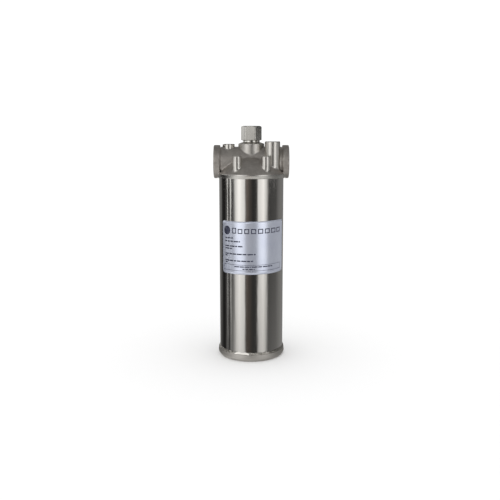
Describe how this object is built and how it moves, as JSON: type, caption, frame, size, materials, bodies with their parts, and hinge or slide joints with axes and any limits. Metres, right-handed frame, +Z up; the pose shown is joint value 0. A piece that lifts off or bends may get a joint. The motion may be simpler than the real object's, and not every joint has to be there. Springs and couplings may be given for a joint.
{
  "type": "cartridge filter housing",
  "caption": "Upright single-cartridge filter housing: bright tube bowl with a welded base, cast head with in-line threaded ports, and a centre rod with a hexagon cap nut.",
  "frame": {"origin": "middle of the base's foot, on the surface the housing stands on", "axes": "+Z up along the centre rod; ports along X, inlet towards -X and outlet towards +X; nameplate faces -Y"},
  "size_m": [0.1026, 0.0942, 0.3206],
  "materials": {
    "bright_tube": "bright-finished stainless tube",
    "turned_steel": "machined stainless steel",
    "cast_steel": "cast and bead-blasted stainless steel",
    "weld_steel": "dressed weld",
    "spring_steel": "drawn stainless wire and strip",
    "foil": "printed satin foil",
    "gasket_rubber": "moulded rubber",
    "pleated_paper": "pleated filter fleece",
    "white_plastic": "moulded polypropylene",
    "cartridge_rubber": "flat elastomer gasket"
  },
  "bodies": {
    "bowl": {"bowl_tube": "bright_tube", "base_cap": "turned_steel", "base_weld": "weld_steel", "rod_boss": "turned_steel", "drain_boss": "turned_steel", "centre_rod": "turned_steel", "retaining_ring": "spring_steel", "spring_washer": "spring_steel", "nameplate": "foil", "seat_spring": "spring_steel"},
    "seat": {"seat_cup": "turned_steel", "seat_ring": "gasket_rubber"},
    "cartridge": {"cartridge_media": "pleated_paper", "cartridge_core": "white_plastic", "cartridge_top_cap": "white_plastic", "cartridge_bottom_cap": "white_plastic", "cartridge_top_gasket": "cartridge_rubber", "cartridge_bottom_gasket": "cartridge_rubber"},
    "head": {"head_casting": "cast_steel", "bowl_gasket": "gasket_rubber"},
    "nut_seal": {"cap_nut_seal": "gasket_rubber"},
    "cap_nut": {"cap_nut": "turned_steel"},
    "vent_seal": {"vent_plug_seal": "gasket_rubber"},
    "vent_plug": {"vent_plug": "turned_steel"},
    "gauge_seal": {"gauge_plug_seal": "gasket_rubber"},
    "gauge_plug": {"gauge_plug": "turned_steel"},
    "drain_seal": {"drain_plug_seal": "gasket_rubber"},
    "drain_plug": {"drain_plug": "turned_steel"}
  },
  "joints": [
    {"name": "seat_travel", "type": "slide", "parent": "bowl", "child": "seat", "axis": [0, 0, 1], "range_m": [-0.0025, 0], "stiffness_N_per_m": 3000, "springref_m": 0.004, "deforming": ["seat_spring"]},
    {"name": "cartridge_lift", "type": "slide", "parent": "bowl", "child": "cartridge", "axis": [0, 0, 1], "range_m": [0, 0.31]},
    {"name": "head_lift", "type": "slide", "parent": "cartridge", "child": "head", "axis": [0, 0, 1], "range_m": [0, 0.1]},
    {"name": "nut_rise", "type": "slide", "parent": "head", "child": "nut_seal", "axis": [0, 0, 1], "range_m": [0, 0.02002]},
    {"name": "nut_turn", "type": "hinge", "parent": "nut_seal", "child": "cap_nut", "pos_m": [0, 0, 0.2985], "axis": [0, 0, 1], "range_deg": [0, 3600]},
    {"name": "vent_plug_rise", "type": "slide", "parent": "head", "child": "vent_seal", "axis": [0, 0, 1], "range_m": [0, 0.01339]},
    {"name": "vent_plug_turn", "type": "hinge", "parent": "vent_seal", "child": "vent_plug", "pos_m": [0.0285, -0.017, 0.2975], "axis": [0, 0, 1], "range_deg": [0, 3600]},
    {"name": "gauge_plug_rise", "type": "slide", "parent": "head", "child": "gauge_seal", "axis": [0, 0, 1], "range_m": [0, 0.00909]},
    {"name": "gauge_plug_turn", "type": "hinge", "parent": "gauge_seal", "child": "gauge_plug", "pos_m": [-0.031, 0, 0.2944], "axis": [0, 0, 1], "range_deg": [0, 3600]},
    {"name": "drain_plug_rise", "type": "slide", "parent": "bowl", "child": "drain_seal", "axis": [0, 0, -1], "range_m": [0, 0.00909]},
    {"name": "drain_plug_turn", "type": "hinge", "parent": "drain_seal", "child": "drain_plug", "pos_m": [0, 0.03, 0.0043], "axis": [0, 0, -1], "range_deg": [0, 3600]}
  ],
  "couplings": [
    {"joint": "nut_rise", "follows": "nut_turn", "m_per_rad": 0.00031831},
    {"joint": "vent_plug_rise", "follows": "vent_plug_turn", "m_per_rad": 0.00021279},
    {"joint": "gauge_plug_rise", "follows": "gauge_plug_turn", "m_per_rad": 0.00014435},
    {"joint": "drain_plug_rise", "follows": "drain_plug_turn", "m_per_rad": 0.00014435}
  ]
}
